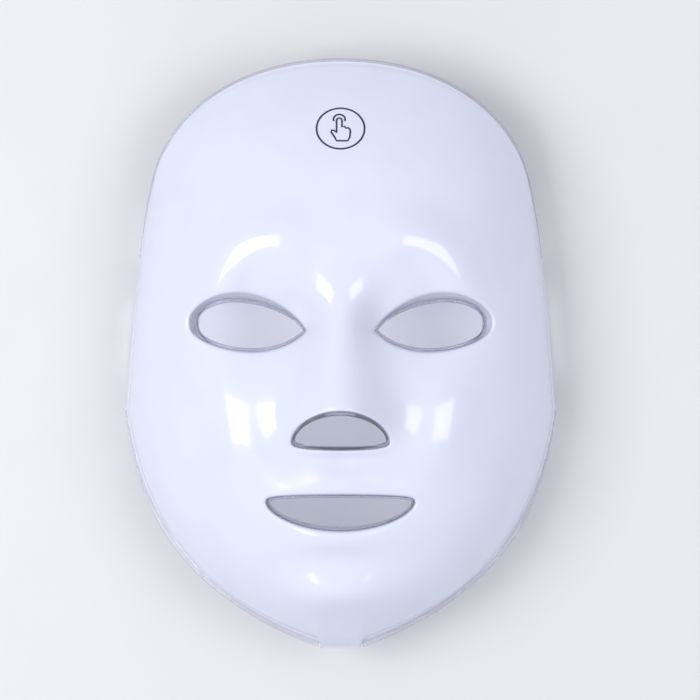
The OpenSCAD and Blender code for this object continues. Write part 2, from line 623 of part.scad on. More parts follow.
// ---------- Screws that hold the clear shell ----------
function screw_depth(c) = clear_depth(cell_mid(c), c[0] + 0.5, c[1] + 0.5);
module at_screw(c, d) {
    seat(cell_mid(c), d, rim_fix(c[0] + 0.5, c[1] + 0.5)) children();
}
module shell_posts() {
    color("white") for (c = screw_cells) {
        tall = screw_depth(c) - shell_t - 0.15;
        at_screw(c, shell_t + 0.1) difference() {
            translate([0, 0, -tall]) cylinder(r = 2.4, h = tall, $fn = 32);
            translate([0, 0, -tall - 1]) cylinder(r = 1.05, h = tall, $fn = 24);
        }
    }
}
module shell_screws() {
    color("silver") for (c = screw_cells) at_screw(c, screw_depth(c) + clear_t + 0.1) difference() {
        union() {
            translate([0, 0, -1.4]) cylinder(r = 2.3, h = 1.4, $fn = 32);
            translate([0, 0, -0.01]) cylinder(r = 1, h = clear_t + 4.2, $fn = 24);
        }
        translate([-1.4, -0.25, -1.5]) cube([2.8, 0.5, 0.8]);
        translate([-0.25, -1.4, -1.5]) cube([0.5, 2.8, 0.8]);
    }
}

// ---------- Charging port under the chin tab ----------
// Its frame: origin at the tab's end, y running in along the tab, z out of the face
port_mid_z = -5.37;
port_frame = frame(skin([0, tab_y], rim_fix(mid, ny)), [1, 0, 0], face_out(0, -115.5));
function in_port(v) = let(r = port_frame * [v[0], v[1], v[2], 1]) [r[0], r[1], r[2]];
module slot_bar(x, z, r, from_y, long) {
    translate([0, from_y, port_mid_z]) rotate([-90, 0, 0]) rounded(x, z, r, long);
}
module port_housing() {
    color("white") multmatrix(port_frame) difference() {
        translate([-6.5, 0, -8.3]) cube([13, 15, 5.2]);
        translate([-5.2, 0.9, -7.7]) cube([10.4, 13.2, 4.1]);
        slot_bar(9.2, 3.36, 1.6, -1, 2.5);
        translate([0, 13, -5.4]) rotate([-90, 0, 0]) cylinder(r = 1.6, h = 3, $fn = 32);
    }
}
module port_board() {
    color("darkgreen") multmatrix(port_frame) translate([-4.9, 1.2, -7.65]) cube([9.8, 12.4, 0.7]);
}
module charge_port() {
    color("silver") multmatrix(port_frame) {
        difference() {
            slot_bar(8.94, 3.1, 1.5, 0.15, 7.4);
            slot_bar(8.4, 2.56, 1.25, -0.5, 7.4);
        }
        translate([-3.3, 1.2, port_mid_z - 0.35]) cube([6.6, 6, 0.7]);
    }
}
module port_lead() {
    color("red") for (x = [-0.6, 0.6]) wire(smooth([in_port([x, 12.2, -6.35]), in_port([x, 13.2, -5.6]),
        in_port([x, 15.4, -5.3]), sunk(mid, ny - 2, shell_t, 2, 0, false) + [x, 0, 0],
        board_node(mid, ny - 3, -0.6) + [x, 0, 0]]), 0.45);
}
module light_lead() {
    color("orange") for (x = [-0.6, 0.6]) wire(smooth([
        by_control(socket_x[1] + x, -7.45),
        by_control(socket_x[1] + x, -9.3),
        board_node(mid, 8, -0.6) + [x + socket_x[1], 0, 0],
        board_node(mid, 9, -0.6) + [x + socket_x[1], 0, 0]]), 0.4);
}

outer_shell();
inner_shell();
touch_mark();
touch_pad();
touch_spring();
control_board();
control_chips();
control_coil();
control_parts();
control_sockets();
control_posts();
control_fixings();
battery();
battery_pad();
battery_guard();
battery_lead();
light_board_forehead();
light_board_nose();
light_board_cheek_left();
light_board_cheek_right();
light_board_chin();
lights_forehead();
lights_nose();
lights_cheek_left();
lights_cheek_right();
lights_chin();
link_nose();
link_cheek_left();
link_cheek_right();
link_chin_left();
link_chin_right();
light_pads();
light_lead();
shell_posts();
shell_screws();
port_housing();
port_board();
charge_port();
port_lead();
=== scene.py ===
"""LED face mask lying face up on a pale table, in the frame of its CAD model.

The face is one height formula over a grid of nodes. Every shell, board and light follows it.
Shapes are worked out in millimetres and turned into metres when a mesh is made.
"""

import json
import math

import bmesh
import bpy
import numpy as np
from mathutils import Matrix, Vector

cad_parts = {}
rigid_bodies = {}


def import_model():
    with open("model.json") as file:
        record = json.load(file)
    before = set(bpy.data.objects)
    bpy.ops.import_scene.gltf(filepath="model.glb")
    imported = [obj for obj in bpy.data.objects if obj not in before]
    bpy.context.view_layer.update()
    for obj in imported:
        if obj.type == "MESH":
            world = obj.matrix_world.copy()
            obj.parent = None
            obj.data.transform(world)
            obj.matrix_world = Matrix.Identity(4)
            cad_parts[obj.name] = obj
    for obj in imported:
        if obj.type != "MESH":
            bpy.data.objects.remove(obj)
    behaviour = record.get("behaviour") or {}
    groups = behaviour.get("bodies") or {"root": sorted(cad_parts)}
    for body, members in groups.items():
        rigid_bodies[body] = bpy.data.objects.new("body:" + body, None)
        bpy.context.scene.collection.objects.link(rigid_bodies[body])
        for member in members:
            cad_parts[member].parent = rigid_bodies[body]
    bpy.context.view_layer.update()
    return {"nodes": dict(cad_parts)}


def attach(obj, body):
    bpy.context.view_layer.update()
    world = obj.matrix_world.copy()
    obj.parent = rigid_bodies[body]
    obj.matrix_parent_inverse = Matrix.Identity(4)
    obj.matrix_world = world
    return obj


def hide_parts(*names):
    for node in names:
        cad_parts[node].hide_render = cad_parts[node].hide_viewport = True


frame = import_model()
nodes = frame["nodes"]
MM = 0.001

# ---------------------------------------------------------------- the face, as in the CAD source
NX, NY = 36, 48
MID = NX / 2
FINE = 4  # mesh steps in each grid cell

SHELL_T, CLEAR_T, CAVITY, FOREHEAD_ROOM = 2.0, 1.5, 7.0, 5.0
RIM_SHOW, COLLAR_H, FIT_GAP = 1.7, 6.0, 0.15
BOARD_T, LINK_T, LED_W, LED_H = 0.8, 0.3, 5.0, 1.6
LIGHT_ROOM = LED_H + 1.8

CROWN = [(0, 116.8), (41, 116.8), (66.5, 96), (74.2, 74)]
TEMPLE = [(74.2, 74), (82.4, 50), (84.7, 10), (87.3, -23.2)]
JAW = [(87.3, -23.2), (81.4, -65), (57.4, -98), (8, -115.2)]
JAW_SPLIT, SIDE_SPLIT, CHIN_SHARE = 0.6, 0.58, 0.1
TAB_W, TAB_Y = 15.8, -118.4
SIDE_Z, CROWN_Z, CHIN_Z = 10.5, 34, 31

# Openings: centre x, centre y, half width, height above and below, powers above and below,
# slope, lid shift, outer corner rounding, lean of the upper edge and of the outer corner
EYE = (36.3, 11.2, 23, 12.375, 10.125, 1.45, 1.15, 0.085, 1.8, 0.3, 2.2, 2)
NOSE = (0, -33.6, 19, 12, 3.6, 1.2, 0.55, 0, 0, 0, 0.5, 0)
MOUTH = (0, -57.6, 29, 3.2, 11, 0.5, 1.2, 0, 0, 0, 0, 0)
HOLES = (
    ((20, 29, 19, 23), EYE, 1),
    ((7, 16, 19, 23), EYE, -1),
    ((15, 21, 27, 31), NOSE, 1),
    ((13, 23, 34, 38), MOUTH, 1),
)
TAB_BLOCK, NOTCH_BLOCK = (15, 21, NY, NY), (15, 21, NY - 1, NY)
SCREWS = ((11, 3), (24, 3), (3, 19), (32, 19), (3, 29), (32, 29), (8, 42), (27, 42))
SCREW_HOLE_R = 1.5

# Relief over the dome: centre x, centre y, spread x, spread y, tilt, height, power
RELIEF = (
    (0, 40, 13, 10, 0, 1, 1),  # between the brows
    (33, 12, 20, 15, 0, -8.5, 1),  # eye socket
    (16, 15, 8, 11, 0, -4.5, 1),  # inner eye corner
    (41, -28, 13, 22, -14, 3.4, 1),  # cheekbone
    (0, -57, 24, 17, 0, 1.4, 1),  # mouth swell
    (0, -48, 11, 4.5, 0, 1.3, 1),  # upper lip
    (0, -42, 4, 5, 0, -0.8, 1),  # groove under the nose
    (0, -72, 15, 4.5, 0, 2, 1),  # lower lip
    (0, -81, 20, 5, 0, -0.6, 1),  # dip under the lip
    (0, -95, 23, 9, 0, 6, 1),  # chin
)
NOSE_LIFT, NOSE_TOP_Y, NOSE_TIP_Y = 21, 30, -24
# Brow ridge: centre x and y of its curve, radius, width, height
BROW_X, BROW_Y, BROW_R, BROW_W, BROW_H = 25, 24, 22, 11, 3.6


def ease(a, b, v):
    t = np.clip((v - a) / (b - a), 0, 1)
    return t * t * (3 - 2 * t)


def mix(a, b, t):
    return a * (1 - t) + b * t


def unit(v):
    return v / np.maximum(np.linalg.norm(v, axis=-1, keepdims=True), 1e-9)


def curve(points, t):
    p = np.array(points, float)
    t = np.asarray(t, float)[..., None]
    return (1 - t) ** 3 * p[0] + 3 * t * (1 - t) ** 2 * p[1] + 3 * t * t * (1 - t) * p[2] + t**3 * p[3]


def edge_z(y):
    return SIDE_Z + (CROWN_Z - SIDE_Z) * ease(34, 120, y) + (CHIN_Z - SIDE_Z) * ease(-22, -120, y)


def dome(x, y):
    ridge = 68 - 37.4 * np.maximum(0, (y - 30) / 90) ** 2.2 - 44 * np.maximum(0, (20 - y) / 140) ** 6
    low = np.clip((-24 - y) / 99, 0, 0.995)
    half = np.where(y > -24, 88.5 - 7.7 * np.minimum(1, (y + 24) / 88), 88.5 * (1 - low**1.6) ** 0.455)
    r = np.minimum(0.9995, np.abs(x) / half)
    return ridge - 64 * (1 - np.sqrt(1 - r**2.2))


def bump(x, y, f):
    c, s = math.cos(math.radians(f[4])), math.sin(math.radians(f[4]))
    dx, dy = x - f[0], y - f[1]
    a, b = (dx * c + dy * s) / f[2], (dy * c - dx * s) / f[3]
    return f[5] * np.exp(-((a * a + b * b) ** f[6]))


def nose_ridge(x, y):
    rise = NOSE_LIFT * np.clip((NOSE_TOP_Y - y) / (NOSE_TOP_Y - NOSE_TIP_Y), 0, 1) ** 1.25
    fall = 1 - ease(NOSE_TIP_Y, -42, y)
    half = 8.5 + 9 * ease(20, -26, y)
    return rise * fall * np.exp(-np.abs(x / half) ** 2.2)


def brow(x, y):
    """A ridge curved around each eye socket."""
    u, v = np.abs(x) - BROW_X, y - BROW_Y
    r, a = np.hypot(u, v), np.degrees(np.arctan2(v, u))
    share = ease(-75, -15, a) * (1 - ease(90, 150, a)) * ease(0, 18, r)
    return BROW_H * np.exp(-(((r - BROW_R) / BROW_W) ** 2)) * share


def face(x, y):
    z = dome(x, y) + nose_ridge(x, y) + brow(x, y)
    for f in RELIEF:
        z = z + bump(x, y, f) + (bump(-x, y, f) if f[0] else 0)
    return z


def outward(height, p, h=0.05):
    """Unit normal of a height formula at plan points p."""
    x, y = p[..., 0], p[..., 1]
    dx = (height(x - h, y) - height(x + h, y)) / (2 * h)
    dy = (height(x, y - h) - height(x, y + h)) / (2 * h)
    return unit(np.stack([dx, dy, np.ones_like(dx)], -1))


# ---------------------------------------------------------------- the grid
def mirrored(p, left):
    sign = np.where(left, -1.0, 1.0)
    return p * np.stack([sign, np.ones_like(sign)], -1)


def edge_top(u):
    return mirrored(curve(CROWN, np.abs(2 * u - 1)), u < 0.5)


def edge_side(v, left):
    upper = curve(TEMPLE, np.minimum(v / SIDE_SPLIT, 1))
    lower = curve(JAW, JAW_SPLIT * np.maximum(v - SIDE_SPLIT, 0) / (1 - SIDE_SPLIT))
    return mirrored(np.where((v < SIDE_SPLIT)[..., None], upper, lower), left)


def edge_low(u):
    a = np.abs(2 * u - 1)
    flat = np.stack([JAW[3][0] * a / CHIN_SHARE, np.full_like(a, JAW[3][1])], -1)
    bent = curve(JAW, 1 - (1 - JAW_SPLIT) * np.maximum(a - CHIN_SHARE, 0) / (1 - CHIN_SHARE))
    return mirrored(np.where((a < CHIN_SHARE)[..., None], flat, bent), u < 0.5)


def plain_node(i, j):
    """Plan position of a grid place, filled in evenly from the four stretches of the outline."""
    i, j = np.broadcast_arrays(np.asarray(i, float), np.asarray(j, float))
    u, v = i / NX, j / NY
    left, right = np.ones(u.shape, bool), np.zeros(u.shape, bool)
    zero, one = np.zeros_like(u), np.ones_like(u)
    u1, v1 = u[..., None], v[..., None]
    return (
        (1 - v1) * edge_top(u)
        + v1 * edge_low(u)
        + (1 - u1) * edge_side(v, left)
        + u1 * edge_side(v, right)
        - (1 - u1) * (1 - v1) * edge_top(zero)
        - u1 * (1 - v1) * edge_top(one)
        - (1 - u1) * v1 * edge_low(zero)
        - u1 * v1 * edge_low(one)
    )


def hole_point(hole, angle, grow, lean):
    """Point on the outline of an opening, at an angle from its outer end."""
    x0, y0, half, above, below, power_up, power_down, slope, shift, rounding, tip_up, tip_out = hole
    s, c = np.sin(angle), np.cos(angle)
    x = (half + grow) * c - lean * tip_out * np.maximum(c, 0) ** 2
    up = (above + grow) * np.abs(s) ** power_up
    down = -(below + grow) * np.abs(s) ** (power_down - rounding * c)
    y = np.where(s >= 0, up, down) - lean * tip_up * np.maximum(s, 0) ** 2
    return np.stack([x0 + x + shift * np.abs(s), y0 + y + slope * x], -1)


def ring_of(b, i, j):
    """How many cells a grid place lies outside block b."""
    return np.maximum.reduce([b[0] - i, i - b[1], b[2] - j, j - b[3], np.zeros_like(i)])


def hole_target(opening, i, j, grow, lean):
    b, hole, side = opening
    a = (2 * i - b[0] - b[1]) / (b[1] - b[0])
    d = -(2 * j - b[2] - b[3]) / (b[3] - b[2])
    return hole_point(hole, np.arctan2(d, side * a), grow, lean) * [side, 1]


def tab_target(i, j):
    k = i - MID
    s, far = np.sign(k), np.clip(np.abs(k) - 2, 0, 1)
    x = np.where(np.abs(k) <= 2, np.abs(k) * TAB_W / 4, TAB_W / 2 + 0.15 * far)
    return np.stack([s * x, mix(TAB_Y, JAW[3][1], far)], -1)


def notch_target(i, j):
    k = i - MID
    s, far = np.sign(k), np.clip(np.abs(k) - 2, 0, 1)
    x = mix(np.minimum(np.abs(k), 2) * TAB_W / 5, TAB_W / 2 + 0.6, far)
    return np.stack([s * x, mix(-108.5, JAW[3][1], np.clip(j - NY + 1, 0, 1))], -1)


def fall_off(r):
    """How much of a block's shape still shows r cells outside it."""
    return np.maximum(0, 1 - r / 4) ** 2


def node_xy(i, j, grow=0.0, lean=0.0, clear=False):
    """Plan position of grid place (i, j). grow widens the openings, lean tips their upper edges in."""
    i, j = np.broadcast_arrays(np.asarray(i, float), np.asarray(j, float))
    base = plain_node(i, j)
    out = base.copy()
    low, low_target = (NOTCH_BLOCK, notch_target) if clear else (TAB_BLOCK, tab_target)
    blocks = [(h[0], lambda a, b, h=h: hole_target(h, a, b, grow, lean)) for h in HOLES]
    blocks.append((low, low_target))
    for b, target in blocks:
        bi, bj = np.clip(i, b[0], b[1]), np.clip(j, b[2], b[3])
        out += fall_off(ring_of(b, i, j))[..., None] * (target(bi, bj) - plain_node(bi, bj))
    if clear:
        for c in SCREWS:
            b = (c[0], c[0] + 1, c[1], c[1] + 1)
            middle = plain_node(c[0] + 0.5, c[1] + 0.5)
            angle = np.arctan2(c[1] + 0.5 - j, i - c[0] - 0.5)
            ring = middle + SCREW_HOLE_R * np.stack([np.cos(angle), np.sin(angle)], -1)
            out = np.where((ring_of(b, i, j) == 0)[..., None], ring, out)
    for b, target in reversed(blocks):
        out = np.where((ring_of(b, i, j) == 0)[..., None], target(i, j), out)
    return out


def rim_fix(i, j):
    """Small height change that brings the rim to its set height."""
    def fix(p):
        return edge_z(p[..., 1]) - face(p[..., 0], p[..., 1])

    i, j = np.broadcast_arrays(np.asarray(i, float), np.asarray(j, float))
    u, v = np.clip(i / NX, 0, 1), np.clip(j / NY, 0, 1)
    a, b = np.abs(2 * u - 1) ** 8, np.abs(2 * v - 1) ** 8
    left, upper = u < 0.5, v < 0.5
    side = fix(edge_side(v, left))
    end = fix(np.where(upper[..., None], edge_top(u), edge_low(u)))
    corner = fix(edge_side(np.where(upper, 0.0, 1.0), left))
    return a * side + b * end - a * b * corner


def skin(p, lift=0.0):
    return np.concatenate([p, (face(p[..., 0], p[..., 1]) + lift)[..., None]], -1)


def clear_depth(p, i, j):
    e = np.minimum.reduce([i, NX - i, j, NY - j])
    extra = FOREHEAD_ROOM * np.exp(-((p[..., 0] / 42) ** 4) - ((p[..., 1] - 60) / 40) ** 4)
    return SHELL_T + FIT_GAP + (CAVITY + extra) * ease(0, 3.5, e)


def sunk(i, j, a, b, grow=0.0, lean=0.0, clear=False):
    """A place sunk by a along the face's own direction and by b along the dome's.

    b is a length, or names the part whose depth it is: the clear shell or a light board.
    """
    i, j = np.broadcast_arrays(np.asarray(i, float), np.asarray(j, float))
    p = node_xy(i, j, grow, lean, clear)
    if b == "clear":
        b = clear_depth(p, i, j) - SHELL_T
    elif b == "board":
        b = clear_depth(p, i, j) - SHELL_T - LIGHT_ROOM - BOARD_T
    pull = np.max([fall_off(ring_of(h[0], i, j)) for h in HOLES], 0)[..., None]
    n, m = outward(face, p), outward(dome, p)
    b = np.broadcast_to(b, i.shape)[..., None]
    slant = a * n + b * m
    upright = np.zeros_like(slant)
    upright[..., 2:] = a / n[..., 2:] + b / m[..., 2:]
    return skin(p, rim_fix(i, j)) - mix(slant, upright, pull)


def board_place(i, j, a):
    """Points on a light board, a below the side that is against the white shell."""
    return sunk(i, j, SHELL_T + a, "board")


# ---------------------------------------------------------------- meshes
def new_object(name, points, faces, materials, indices=None, smooth=True):
    mesh = bpy.data.meshes.new(name)
    mesh.from_pydata((np.asarray(points) * MM).tolist(), [], faces)
    for material in materials:
        mesh.materials.append(material)
    if indices is not None:
        mesh.polygons.foreach_set("material_index", indices)
    mesh.polygons.foreach_set("use_smooth", [smooth] * len(mesh.polygons))
    mesh.update()
    obj = bpy.data.objects.new(name, mesh)
    bpy.context.collection.objects.link(obj)
    return obj


def finish_piece(obj, slot, *replaced):
    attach(obj, "root")
    if replaced:
        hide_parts(*replaced)
    return obj


def sheet(name, top, bottom, cells, edges, material):
    """A closed sheet between two grids of points.

    cells is 1 where the sheet is, and another number where it isn't. edges gives, for each of
    those numbers, the rows of points that the border there follows from top to bottom.
    """
    rows, cols = top.shape[:2]
    layer = rows * cols
    grids = [top.reshape(-1, 3), bottom.reshape(-1, 3)]
    runs = {}
    for kind, between in edges.items():
        runs[kind] = [0] + [layer * (len(grids) + k) for k in range(len(between))] + [layer]
        grids += [g.reshape(-1, 3) for g in between]
    points = np.concatenate(grids)
    padded = np.zeros((cells.shape[0] + 2, cells.shape[1] + 2), int)
    padded[1:-1, 1:-1] = cells
    faces = []
    for j, i in np.argwhere(cells == 1):
        a = j * cols + i
        b, c, d = a + 1, a + cols + 1, a + cols
        faces.append((d, c, b, a))
        faces.append((a + layer, b + layer, c + layer, d + layer))
        around = (
            (a, b, padded[j, i + 1]),
            (b, c, padded[j + 1, i + 2]),
            (c, d, padded[j + 2, i + 1]),
            (d, a, padded[j + 1, i]),
        )
        for p, q, beyond in around:
            if beyond != 1:
                run = runs[beyond]
                faces += [(p + f, q + f, q + g, p + g) for f, g in zip(run, run[1:])]
    faces = np.array(faces)
    used, index = np.unique(faces, return_inverse=True)
    return new_object(name, points[used], index.reshape(faces.shape).tolist(), [material])


def weld(obj):
    """Joins points that share a place, as those in the corners of the clear shell's rim do."""
    mesh = bmesh.new()
    mesh.from_mesh(obj.data)
    bmesh.ops.remove_doubles(mesh, verts=mesh.verts, dist=1e-7)
    mesh.to_mesh(obj.data)
    mesh.free()
    return obj


def fine_grid(columns, rows):
    """Fractional grid places, and for each fine cell the whole cell it lies in."""
    i = np.linspace(columns[0], columns[1], (columns[1] - columns[0]) * FINE + 1)
    j = np.linspace(rows[0], rows[1], (rows[1] - rows[0]) * FINE + 1)
    ii, jj = np.meshgrid(i, j)
    ci = np.floor((ii[:-1, :-1] + ii[1:, 1:]) / 2).astype(int)
    cj = np.floor((jj[:-1, :-1] + jj[1:, 1:]) / 2).astype(int)
    return ii, jj, ci, cj


def in_hole(ci, cj):
    blocks = [h[0] for h in HOLES]
    return np.any([(ci >= b[0]) & (ci < b[1]) & (cj >= b[2]) & (cj < b[3]) for b in blocks], 0)


def place_on(grid, grow, lean, drop, clear=False):
    """Points on the outlines of the openings, dropped straight down from the face."""
    i, j = grid
    p = node_xy(i, j, grow, lean, clear)
    base = node_xy(i, j, grow, 0, clear)
    z = face(base[..., 0], base[..., 1]) + rim_fix(i, j) - drop
    return np.concatenate([p, z[..., None]], -1)


# ---------------------------------------------------------------- white front shell
def build_outer_shell(material):
    ii, jj, ci, cj = fine_grid((0, NX), (0, NY))
    wall, roll, lip, low_lip = 1.8, 1.5, 0.55, 0.35
    cells = np.where(in_hole(ci, cj), 2, 1)
    top = skin(node_xy(ii, jj, roll), rim_fix(ii, jj))
    within = skin(node_xy(np.clip(ii, 0.5, NX - 0.5), np.clip(jj, 0.5, NY - 0.5), roll))
    way = (top - within) * [1, 1, 0]
    way = unit(way) * (np.linalg.norm(way, axis=-1, keepdims=True) > 0.01)
    n = outward(face, top[..., :2])
    bottom = sunk(ii, jj, SHELL_T, 0, wall) - low_lip * way
    turns = np.radians([22.5, 45, 67.5, 90])
    border = [top - way * lip * (1 - math.sin(t)) - n * lip * (1 - math.cos(t)) for t in turns]
    border.append(top - n * (SHELL_T - low_lip))
    border.append(top - n * (SHELL_T - 0.1) - way * low_lip * 0.3)
    grid = (ii, jj)
    rolled = [place_on(grid, roll * (1 - math.sin(t)), 0, roll * (1 - math.cos(t))) for t in turns]
    for share in (0.5, 0.75, 0.9):
        rolled.append(place_on(grid, 0, share**1.4, COLLAR_H * share))
    rolled.append(place_on(grid, 0.15, 1, COLLAR_H - 0.15))
    rolled.append(place_on(grid, 0.45, 1, COLLAR_H))
    rolled.append(place_on(grid, wall - 0.3, 1, COLLAR_H))
    rolled.append(place_on(grid, wall, 1, COLLAR_H - 0.3))
    return sheet("front_shell", top - lip * way, bottom, cells, {0: border, 2: rolled}, material)


# ---------------------------------------------------------------- clear inner shell
EAR_ROWS, SLOT_ROWS = (12, 27), (16, 23)
EAR_Z, EAR_LEAN = (7.9, 3.4, 0), 0.35
RIM_SIDE, RIM_CROWN = 0.3, 0.8  # how far the rim shows at the sides, and how much more at the crown


def rim_heading(i, j, along_side, way):
    """Plan direction square to the outline, pointing the same way as way."""
    def at(di, dj):
        return node_xy(np.clip(i + di, 0, NX), np.clip(j + dj, 0, NY), 0, 1, True)

    step = 1 / FINE
    run = np.where(along_side[..., None], at(0, step) - at(0, -step), at(step, 0) - at(-step, 0))
    square = unit(np.stack([run[..., 1], -run[..., 0]], -1))
    return square * np.sign(np.sum(square * way[..., :2], -1, keepdims=True))


def clear_place(ii, jj, a, grow):
    """Points of the clear shell a below its front, with its rim and ears, and the way they run out."""
    bi, bj = np.clip(ii, 0, NX), np.clip(jj, 0, NY)
    k = np.maximum.reduce([-ii, ii - NX, -jj, jj - NY, np.zeros_like(ii)])
    edge = sunk(bi, bj, SHELL_T + a, "clear", grow, 1, True)
    inner = sunk(np.clip(ii, 1, NX - 1), np.clip(jj, 1, NY - 1), SHELL_T + a, "clear", grow, 1, True)
    way = unit(edge - inner)
    p = node_xy(bi, bj, 0, 1, True)
    show = RIM_SIDE + RIM_CROWN * ease(40, 100, p[..., 1]) + RIM_SHOW * ease(-20, -75, p[..., 1])
    reach = p + rim_heading(bi, bj, bi != ii, way) * show[..., None]
    level = edge_z(p[..., 1]) - SHELL_T * outward(face, p)[..., 2] - FIT_GAP - a
    flange = np.concatenate([reach, level[..., None]], -1)
    rim = mix(edge, flange, np.minimum(k, 1)[..., None])
    goal = np.where(k <= 1, mix(edge[..., 2], EAR_Z[0], k), np.interp(k, (1, 2, 3), EAR_Z))
    fall = ((edge[..., 2] - goal) / np.maximum(-way[..., 2], 0.05))[..., None]
    ear = edge + way * [EAR_LEAN, EAR_LEAN, 1] * fall
    share = ease(EAR_ROWS[0] - 1, EAR_ROWS[0], jj) * ease(EAR_ROWS[1] + 1, EAR_ROWS[1], jj)
    share = np.where(bi != ii, share, 0)[..., None]
    out = mix(rim, ear, share)
    return np.where((k > 0)[..., None], out, edge), np.where((k > 0)[..., None], way, 0)


def build_inner_shell(material):
    ii, jj, ci, cj = fine_grid((-3, NX + 3), (-1, NY + 1))
    inset, lip, drop = FIT_GAP + 0.05, 1.2, 2.5
    away = np.maximum(-ci, ci - NX + 1)
    side = (away < 2) | ((cj >= EAR_ROWS[0]) & (cj < EAR_ROWS[1]))
    slot = (away == 2) & (cj >= SLOT_ROWS[0]) & (cj < SLOT_ROWS[1])
    notch = (ci >= NOTCH_BLOCK[0]) & (ci < NOTCH_BLOCK[1]) & (cj >= NY - 1)
    screw = np.any([(ci == c[0]) & (cj == c[1]) for c in SCREWS], 0)
    cells = np.where(side, 1, 0)
    cells[slot | notch | screw] = 3
    cells[in_hole(ci, cj)] = 2
    top, way = clear_place(ii, jj, 0, -inset)
    bottom, _ = clear_place(ii, jj, CLEAR_T, -inset - lip)
    on_rim = np.maximum.reduce([-ii, ii - NX, -jj, jj - NY]) == 1
    by_ear = (ii != np.clip(ii, 0, NX)) & (jj > EAR_ROWS[0] - 1) & (jj < EAR_ROWS[1] + 1)
    on_rim = (on_rim & ~by_ear)[..., None]
    soft = 0.4
    border = [
        mix(top, bottom, 0.1) - way * soft * 0.3 * on_rim,
        mix(top, bottom, soft / CLEAR_T),
        mix(top, bottom, 1 - soft / CLEAR_T),
        mix(top, bottom, 0.9) - way * soft * 0.3 * on_rim,
    ]
    grid = (ii, jj)
    rolled = [
        place_on(grid, -inset, 1, drop + 0.35, True),
        place_on(grid, -inset - 0.1, 1, drop + 0.1, True),
        place_on(grid, -inset - 0.35, 1, drop, True),
        place_on(grid, -inset - lip + 0.35, 1, drop, True),
        place_on(grid, -inset - lip + 0.1, 1, drop + 0.1, True),
        place_on(grid, -inset - lip, 1, drop + 0.35, True),
    ]
    top = top - way * soft * on_rim
    bottom = bottom - way * soft * on_rim
    return weld(sheet("clear_shell", top, bottom, cells, {0: border, 2: rolled, 3: border}, material))


# ---------------------------------------------------------------- light boards and their lights
BOARDS = {
    "light_board_forehead": (5, 31, 6, 16),
    "light_board_nose": (16, 20, 21, 26),
    "light_board_cheek_right": (25, 31, 25, 37),
    "light_board_cheek_left": (5, 11, 25, 37),
    "light_board_chin": (11, 25, 40, 46),
}
LINKS = {
    "link_nose": (17, 19, 16, 21),
    "link_cheek_right": (30, 31, 16, 25),
    "link_cheek_left": (5, 6, 16, 25),
    "link_chin_right": (25, 26, 37, 42),
    "link_chin_left": (10, 11, 37, 42),
}


def build_board(name, area, thick, material):
    ii, jj, ci, _ = fine_grid(area[:2], area[2:])
    top, bottom = board_place(ii, jj, 0), board_place(ii, jj, thick)
    edge = [mix(top, bottom, 0.2), mix(top, bottom, 0.8)]
    return sheet(name + "_panel", top, bottom, np.ones(ci.shape, int), {0: edge}, material)


def light_shape():
    """One light package, hanging from its board: rings of points, faces, and material numbers."""
    count = 24
    angle = np.arange(count) * 2 * math.pi / count + math.pi / count
    c, s = np.cos(angle), np.sin(angle)
    square = np.stack([np.sign(c) * np.abs(c) ** 0.28, np.sign(s) * np.abs(s) ** 0.28], -1)
    circle = np.stack([c, s], -1)
    half = LED_W / 2
    rings = (
        (square, half, 0, 0),
        (square, half, 1.3, 0),
        (square, half - 0.08, 1.52, 0),
        (square, half - 0.3, LED_H, 0),
        (circle, 2.05, LED_H, 0),
        (circle, 1.95, LED_H - 0.06, 0),
        (circle, 1.8, LED_H - 0.3, 1),
        (circle, 1.2, LED_H - 0.2, 1),
        (circle, 0.5, LED_H - 0.15, 1),
    )
    points = [np.column_stack([shape * size, np.full(count, -drop)]) for shape, size, drop, _ in rings]
    faces, kinds = [], []
    for k in range(len(rings) - 1):
        for q in range(count):
            e = (q + 1) % count
            faces.append((k * count + q, (k + 1) * count + q, (k + 1) * count + e, k * count + e))
            kinds.append(rings[k + 1][3])
    low, tip = len(rings) * count, len(rings) * count + 1
    points = np.concatenate(points + [np.array([[0, 0, 0], [0, 0, 0.14 - LED_H]])])
    last = (len(rings) - 1) * count
    for q in range(count):
        e = (q + 1) % count
        faces += [(low, q, e, e), (tip, last + e, last + q, last + q)]
        kinds += [0, 1]
    return points, [f if f[2] != f[3] else f[:3] for f in faces], kinds


def build_lights(name, area, materials):
    points, faces, kinds = light_shape()
    all_points, all_faces, all_kinds = [], [], []
    for j in range(area[2], area[3], 2):
        for i in range(area[0], area[1], 2):
            p = board_place(np.array([i, i + 1, i + 1, i]), np.array([j, j, j + 1, j + 1]), BOARD_T)
            up = unit(np.cross(p[1] - p[3], p[0] - p[2]))
            x = p[1] - p[0]
            x = unit(x - (x @ up) * up)
            start = len(points) * len(all_points)
            basis = np.stack([x, np.cross(up, x), up])
            all_points.append(points @ basis + p.mean(0) - 0.06 * up)
            all_faces += [tuple(start + v for v in f) for f in faces]
            all_kinds += kinds
    return new_object(name, np.concatenate(all_points), all_faces, materials, all_kinds, smooth=False)


